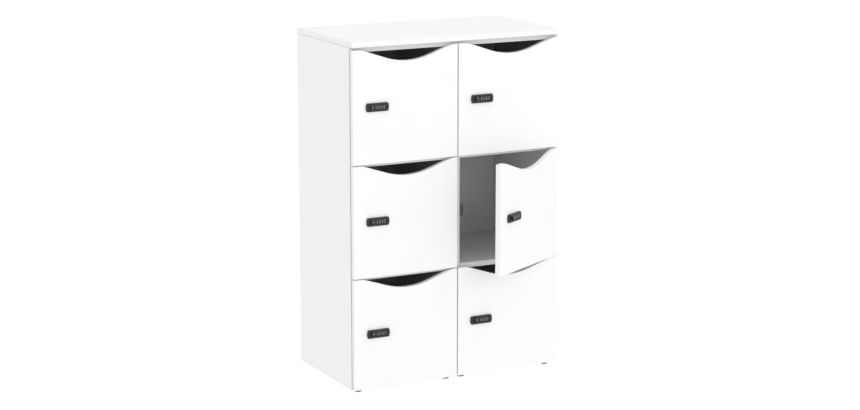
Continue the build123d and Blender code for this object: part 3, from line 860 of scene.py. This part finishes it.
LOCK_WIDTH, LOCK_HEIGHT = lock_high.x - lock_low.x, lock_high.z - lock_low.z
LOCK_PROUD = door_low.y - lock_low.y
LOCK_BOW = 3 * MM
LOCK_CORNER = 4 * MM
SPINDLE_OFFSET = -25.1 * MM  # from the lock's middle
SPINDLE = (LOCK_MIDDLE[0] + SPINDLE_OFFSET, 0, LOCK_MIDDLE[2])
SPINDLE_RADIUS = 4 * MM
RUNNING_GAP = 0.05 * MM
BARREL = 9 * MM
BARREL_END = 34 * MM  # behind the door's front
BODY_END = 16 * MM
DIAL = 8 * MM
DIAL_WIDTH = 6 * MM
DIAL_PITCH = 9 * MM
DIAL_AXIS = LOCK_PROUD + 1.6 * MM - DIAL  # in front of the door
FIRST_DIAL = -3.6 * MM
DIAL_PLACES = [FIRST_DIAL + DIAL_PITCH * number for number in range(4)]
DIAL_ROOM = 0.4 * MM  # round a dial, in the case
PANEL_HALF = 8.6 * MM
WINDOW_HEIGHT = 14 * MM
FACE_THICK = 1.8 * MM


def abs_sockets(tree, place):
    """ABS from a spark-eroded mould: near black, with a fine leathery grain and satin gloss."""
    grain = add(tree, "TexVoronoi", {"Vector": place, "Scale": 1 / (0.6 * MM)}).outputs["Distance"]
    touched = add(tree, "TexNoise", {"Vector": place, "Scale": 1 / (12 * MM), "Detail": 4.0}).outputs[0]
    return {
        "Base Color": between(tree, touched, "#131415", "#191a1b"),
        "Roughness": between(tree, touched, 0.34, 0.46),
        "Normal": add(tree, "Bump", {"Height": grain, "Distance": 0.02 * MM}).outputs[0],
    }


black_abs = finish("black_moulded_abs", 1.53, 0.0, abs_sockets)


def print_sockets(tree, place):
    """Pad-printed white ink, thin enough to be slightly uneven."""
    ink = add(tree, "TexNoise", {"Vector": place, "Scale": 1 / (0.8 * MM), "Detail": 3.0}).outputs[0]
    return {
        "Base Color": between(tree, ink, "#b9b9b6", "#cfcfcc"),
        "Roughness": between(tree, ink, 0.45, 0.6),
    }


white_ink = finish("white_pad_print", 1.49, 0.0, print_sockets)


def bowed_outline(width, height, bow, corner, steps=6):
    """A rectangle whose short ends bulge. A quarter is the half end arc and the corner arc, and
    both come from the same outline inset by the corner's radius; mirroring gives the rest."""
    end_radius = ((height / 2) ** 2 + bow**2) / (2 * bow)
    centre = width / 2 - end_radius
    lean = math.degrees(math.asin((height / 2 - corner) / (end_radius - corner)))
    inner = (centre + (end_radius - corner) * math.cos(math.radians(lean)), height / 2 - corner)
    quarter = np.concatenate([
        arc((centre, 0), end_radius, lean / 12, lean, steps)[:-1],
        arc(inner, corner, lean, 90, steps),
    ])
    upper = np.concatenate([quarter, quarter[::-1] * (-1, 1)])
    return np.concatenate([upper, -upper])


lock_outline = bowed_outline(LOCK_WIDTH, LOCK_HEIGHT, LOCK_BOW, LOCK_CORNER)
body = rectangle(-LOCK_BODY[0] / 2, LOCK_BODY[0] / 2, -LOCK_BODY[1] / 2, LOCK_BODY[1] / 2)
shells = [
    slab(
        lock_outline, 0, LOCK_PROUD, arris(2.2 * MM, 5), "front", LOCK_MIDDLE,
        low_rim=arris(0.3 * MM, 1),
    ),
    slab(body, -BODY_END, 0.1 * MM, arris(0.5 * MM, 2), "front", LOCK_MIDDLE),
    turned(
        [(BARREL - 1 * MM, -BARREL_END), (BARREL, 1 * MM - BARREL_END), (BARREL, 0)],
        "front", SPINDLE, 48,
    ),
]
dials_start = DIAL_PLACES[0] - DIAL_PITCH / 2
dials_end = DIAL_PLACES[-1] + DIAL_PITCH / 2
panel = rectangle(dials_start - 1 * MM, dials_end + 1 * MM, -PANEL_HALF, PANEL_HALF)
chamber = rectangle(dials_start, dials_end, -DIAL - DIAL_ROOM, DIAL + DIAL_ROOM)
tools = [
    slab(rounded(panel, 2 * MM), LOCK_PROUD - 0.5 * MM, 2 * LOCK_PROUD, SQUARE, "front", LOCK_MIDDLE),
    slab(
        chamber, DIAL_AXIS - DIAL - DIAL_ROOM, LOCK_PROUD - FACE_THICK, SQUARE, "front", LOCK_MIDDLE
    ),
    turned(
        [(SPINDLE_RADIUS + RUNNING_GAP, -2 * BARREL_END), (SPINDLE_RADIUS + RUNNING_GAP, BARREL_END)],
        "front", SPINDLE, 32,
    ),
]
window_reach = DIAL_WIDTH / 2 + DIAL_ROOM
for x in DIAL_PLACES:
    window = rectangle(x - window_reach, x + window_reach, -WINDOW_HEIGHT / 2, WINDOW_HEIGHT / 2)
    tools.append(
        slab(
            rounded(window, 0.8 * MM, 3), LOCK_PROUD - FACE_THICK - 1 * MM, 2 * LOCK_PROUD,
            SQUARE, "front", LOCK_MIDDLE,
        )
    )
case_mesh = carved(mesh_of("case", shells, [black_abs]), tools)
on_doors("lock_housing", case_mesh, "lock_plastic", "leaf", "lock_case")

ring_profile = millimetres((4.4, -0.3), (4.4, 0.5), (4.1, 0.8), (3.5, 0.8), (3.2, 0.5), (3.2, -0.3))
RING_PLACE = 34.2 * MM  # right of the lock's middle
MARK_PLACE = dials_start - 3.2 * MM
mark = rounded(millimetres((-1.1, -0.35), (1.1, -0.35), (1.1, 0.35), (-1.1, 0.35)), 0.2 * MM, 2)
ring_middle = (LOCK_MIDDLE[0] + RING_PLACE, -LOCK_PROUD, LOCK_MIDDLE[2])
mark_middle = (LOCK_MIDDLE[0] + MARK_PLACE, -LOCK_PROUD, LOCK_MIDDLE[2])
shells = [
    turned(ring_profile, "front", ring_middle, 40, closed=True),
    slab(mark, -0.1 * MM, 0.06 * MM, SQUARE, "front", mark_middle, (1, 1, 1)),
]
mesh = mesh_of("ring_and_mark", shells, [black_abs, white_ink])
on_doors("lock_face_details", mesh, "lock_plastic", "leaf", "lock_case")


# ---- Clamp plate, dial axle and lock screws ----
# Behind the door a steel plate takes the pull of two screws from the case. It is zinc plated, as
# are the screws and the axle that the dials turn on.


def zinc_sockets(tree, place):
    """Blue-passivated zinc: cool grey metal with cloudy, slightly iridescent patches."""
    patches = add(tree, "TexNoise", {"Vector": place, "Scale": 1 / (7 * MM), "Detail": 4.0}).outputs[0]
    grain = add(tree, "TexNoise", {"Vector": place, "Scale": 1 / (0.5 * MM)}).outputs[0]
    return {
        "Base Color": between(tree, patches, "#a5a9ad", "#b9bbb8"),
        "Roughness": between(tree, patches, 0.3, 0.44),
        "Normal": add(tree, "Bump", {"Height": grain, "Distance": 0.01 * MM}).outputs[0],
    }


zinc = finish("zinc_plated_steel", 1.5, 1.0, zinc_sockets)
LOCK_SCREWS = (-38.5 * MM, 38.5 * MM)
AXLE = 1.5 * MM
axle_middle = (LOCK_MIDDLE[0], -DIAL_AXIS, LOCK_MIDDLE[2])
shells = [
    turned([(AXLE, dials_start), (AXLE, dials_end)], "right", axle_middle, 16),
    slab(lock_outline, -BOARD - SHEET, -BOARD, arris(0.4 * MM, 2), "front", LOCK_MIDDLE),
]
for offset in LOCK_SCREWS:
    seat = (LOCK_MIDDLE[0] + offset, BOARD + SHEET, LOCK_MIDDLE[2])
    shells.append(screw(seat, "back", 3.4 * MM, 1.6 * MM, 2 * MM, 22 * MM))
bore_radius = BARREL + 0.1 * MM
bore = [turned([(bore_radius, -2 * BOARD), (bore_radius, 0)], "front", SPINDLE, 48)]
plate_mesh = carved(mesh_of("clamp", shells, [zinc]), bore)
on_doors("lock_clamp", plate_mesh, "nickel_steel", "leaf", "lock_case")


# ---- Lock knob and cam ----
# A round base with a grip bar, moulded with its spindle in black nylon. A printed arrow shows
# which way it stands. The flat steel cam on the spindle's end turns behind the strike.

KNOB = 8.8 * MM
KNOB_BACK = LOCK_PROUD + 0.3 * MM
GRIP_BACK = KNOB_BACK + 3 * MM
GRIP_FRONT = GRIP_BACK + 5.7 * MM
GRIP_LENGTH = 17.2 * MM
GRIP_WIDTH = 5.4 * MM
NECK = 3 * MM  # the spindle's end, which the cam sits on
CAM_FRONT = BARREL_END + 0.4 * MM
CAM_THICK = 3 * MM
CAM_HALF = 8 * MM
CAM_REACH = 36.5 * MM


def nylon_sockets(tree, place):
    """Glass-filled nylon: black and satin, with faint flow marks and worn, glossier patches."""
    flow = add(tree, "Mapping", {"Vector": place, "Scale": (1.0, 1.0, 0.3)}).outputs[0]
    streaks = add(tree, "TexNoise", {"Vector": flow, "Scale": 1 / (3 * MM), "Detail": 4.0}).outputs[0]
    return {
        "Base Color": between(tree, streaks, "#141415", "#1e1e20"),
        "Roughness": between(tree, streaks, 0.26, 0.4),
        "Normal": add(tree, "Bump", {"Height": streaks, "Distance": 0.02 * MM}).outputs[0],
    }


black_nylon = finish("black_nylon", 1.53, 0.0, nylon_sockets)
grip = bowed_outline(GRIP_LENGTH, GRIP_WIDTH, 0.5 * MM, 0.9 * MM)[:, ::-1] * (-1, 1)
arrow = millimetres(
    (-0.4, -1.5), (0.4, -1.5), (0.4, 4.2), (1.5, 4.2), (0, 7), (-1.5, 4.2), (-0.4, 4.2)
)
knob_profile = [
    (NECK, -CAM_FRONT - CAM_THICK), (NECK, -CAM_FRONT),
    (SPINDLE_RADIUS, -CAM_FRONT), (SPINDLE_RADIUS, KNOB_BACK),
    (KNOB - 0.5 * MM, KNOB_BACK), (KNOB, KNOB_BACK + 0.5 * MM), (KNOB, GRIP_BACK - 0.8 * MM),
    (KNOB - 0.25 * MM, GRIP_BACK - 0.25 * MM), (KNOB - 0.8 * MM, GRIP_BACK),
]
shells = [
    turned(knob_profile, "front", SPINDLE, 48),
    slab(grip, GRIP_BACK - 1 * MM, GRIP_FRONT, arris(1.1 * MM, 4), "front", SPINDLE),
    slab(
        rounded(arrow, 0.12 * MM, 1), GRIP_FRONT - 0.1 * MM, GRIP_FRONT + 0.05 * MM,
        SQUARE, "front", SPINDLE, (1, 1, 1),
    ),
]
knob_mesh = mesh_of("knob", shells, [black_nylon, white_ink])
on_doors("turning_knob", knob_mesh, "knob_plastic", "handle", "lock_knob")

tongue = np.concatenate([
    arc((0, 0), CAM_HALF, 0, 180, 16), arc((0, -CAM_REACH), CAM_HALF, 180, 360, 16),
])
shells = [
    slab(tongue, -CAM_FRONT - CAM_THICK, -CAM_FRONT, arris(0.4 * MM, 2), "front", SPINDLE),
    screw(
        (SPINDLE[0], CAM_FRONT + CAM_THICK, SPINDLE[2]), "back", 5.5 * MM, 2.5 * MM, 1.5 * MM, 8 * MM
    ),
]
on_doors("lock_cam", mesh_of("cam", shells, [zinc]), "nickel_steel", "handle", "lock_knob")


# ---- Number dials ----
# Four wheels side by side on one axle, moulded in graphite grey ABS. Ten flats with a rib
# between them carry the white digits 0 to 9.

FLAT = 7.5 * MM  # from the axle to a flat
HUB = 3.5 * MM
HUB_HALF = (DIAL_PITCH - 0.6 * MM) / 2
RIB_ANGLES = (-16.4, -14.6, 14.6, 16.4)  # from a flat's middle to its ribs
DIGIT_HEIGHT = 3.3 * MM


def wheel_sockets(tree, place):
    """Grey ABS, polished by fingers: lighter and glossier than the case round it."""
    touched = add(tree, "TexNoise", {"Vector": place, "Scale": 1 / (3 * MM), "Detail": 4.0}).outputs[0]
    return {
        "Base Color": between(tree, touched, "#3e4043", "#484a4d"),
        "Roughness": between(tree, touched, 0.28, 0.4),
        "Normal": add(tree, "Bump", {"Height": touched, "Distance": 0.015 * MM}).outputs[0],
    }


graphite_abs = finish("graphite_moulded_abs", 1.53, 0.0, wheel_sockets)


def dial_shell(x):
    """A wheel with its hub and bore as one closed stack. The rim's radius is that of a ten-sided
    figure, and between two flats it steps out to the ribs."""
    offset = np.radians(RIB_ANGLES)
    angle = (offset + np.arange(10)[:, None] * math.pi / 5).ravel()
    rib = np.tile([DIAL, FLAT / math.cos(offset[1]), FLAT / math.cos(offset[2]), DIAL], 10)
    circle = np.stack([np.cos(angle), np.sin(angle)], -1)
    rim = circle * rib[:, None]
    half, soft = DIAL_WIDTH / 2, 0.3 * MM
    outlines = [
        circle * HUB, circle * HUB, rim * 0.96, rim, rim, rim * 0.96, circle * HUB, circle * HUB,
        circle * (AXLE + RUNNING_GAP), circle * (AXLE + RUNNING_GAP),
    ]
    heights = [
        -HUB_HALF, -half, -half, soft - half, half - soft, half, half, HUB_HALF, HUB_HALF, -HUB_HALF,
    ]
    origin = (LOCK_MIDDLE[0] + x, -DIAL_AXIS, LOCK_MIDDLE[2])
    return stack(outlines, heights, "right", origin, closed=True)


def digit_mesh(digit):
    """A digit as a thin closed solid, centred, and as tall as the printed ones."""
    curve = bpy.data.curves.new("digit", "FONT")
    curve.body = str(digit)
    curve.resolution_u = 3
    curve.extrude = 0.03
    source = bpy.data.objects.new("digit", curve)
    mesh = bpy.data.meshes.new_from_object(source)
    bpy.data.objects.remove(source)
    points = np.empty(len(mesh.vertices) * 3)
    mesh.vertices.foreach_get("co", points)
    points = points.reshape(-1, 3)
    middle = (points.max(0) + points.min(0)) / 2
    scale = Matrix.Scale(DIGIT_HEIGHT / np.ptp(points[:, 1]), 4)
    mesh.transform(scale @ Matrix.Translation(-Vector(middle)))
    return mesh


def digits_on(x):
    """The ten digits of one wheel. Each stands on its flat, a tenth of a turn above the last."""
    meshes = []
    upright = Matrix(((1, 0, 0), (0, 0, -1), (0, 1, 0))).to_4x4()
    middle = Matrix.Translation((LOCK_MIDDLE[0] + x, -DIAL_AXIS, LOCK_MIDDLE[2]))
    for digit in range(10):
        mesh = digit_mesh(digit)
        outwards = Matrix.Translation((0, -FLAT, 0)) @ upright
        mesh.transform(middle @ Matrix.Rotation(-digit * math.pi / 5, 4, "X") @ outwards)
        meshes.append(mesh)
    return meshes


def joined(meshes):
    """Several digits as one mesh of white ink: doubles are merged and normals turned outwards."""
    work = bmesh.new()
    for mesh in meshes:
        work.from_mesh(mesh)
    bmesh.ops.remove_doubles(work, verts=work.verts, dist=0.001 * MM)
    bmesh.ops.recalc_face_normals(work, faces=work.faces)
    made = bpy.data.meshes.new("digits")
    work.to_mesh(made)
    work.free()
    made.materials.append(white_ink)
    return made


for number, x in enumerate(DIAL_PLACES, 1):
    wheel = mesh_of("wheel", [dial_shell(x)], [graphite_abs])
    digits = joined(digits_on(x))
    for label, mesh in (("number_wheel", wheel), ("digits", digits)):
        on_doors(f"{label}_{number}", mesh, "dial_plastic", f"wheel_{number}", f"dial_{number}")


# ---- Studio ----
# A white floor and an even white surround, with a large soft light in front and a weak one above.

SPAN = 60.0


def paper_sockets(tree, place):
    """White paper under its own light: it glows evenly and takes only a faint shadow."""
    return {
        "Base Color": (0.1, 0.1, 0.1, 1), "Roughness": 1.0, "Specular IOR Level": 0.0,
        "Emission Color": (1, 1, 1, 1), "Emission Strength": 0.92,
    }


floor_mesh = bpy.data.meshes.new("floor")
corners = [(-SPAN, -SPAN, 0), (SPAN, -SPAN, 0), (SPAN, SPAN, 0), (-SPAN, SPAN, 0)]
floor_mesh.from_pydata(corners, [], [(0, 1, 2, 3)])
floor_mesh.materials.append(finish("white_paper_floor", 1.45, 0.0, paper_sockets))
floor = bpy.data.objects.new("floor", floor_mesh)
bpy.context.scene.collection.objects.link(floor)

world = bpy.data.worlds.new("surround")
bpy.context.scene.world = world
world.use_nodes = True
world.node_tree.nodes["Background"].inputs["Color"].default_value = (1, 1, 1, 1)
world.node_tree.nodes["Background"].inputs["Strength"].default_value = 0.975


def softbox(name, place, target, size, power):
    """A square area light that faces a point."""
    light = bpy.data.lights.new(name, "AREA")
    light.size = size
    light.energy = power
    lamp = bpy.data.objects.new(name, light)
    lamp.location = place
    lamp.rotation_euler = (Vector(target) - Vector(place)).to_track_quat("-Z", "Y").to_euler()
    bpy.context.scene.collection.objects.link(lamp)


softbox("front_softbox", (0.1, -6.3, 2.2), (0, 0, 0.6), 3.0, 72.0)
softbox("top_softbox", (-0.2, 0.1, 4.5), (0.1, 0.1, 1.2), 2.0, 11.0)

camera = bpy.data.objects.new("camera", bpy.data.cameras.new("camera"))
camera.data.lens = 88.82
camera.location = (-3.3941, -6.4104, 2.1328)
CAMERA_AZIMUTH, CAMERA_ELEVATION = 27.588, 11.928
camera.rotation_euler = (math.radians(90 - CAMERA_ELEVATION), 0, math.radians(-CAMERA_AZIMUTH))
bpy.context.scene.collection.objects.link(camera)
bpy.context.scene.camera = camera
bpy.context.scene.view_settings.view_transform = "Standard"
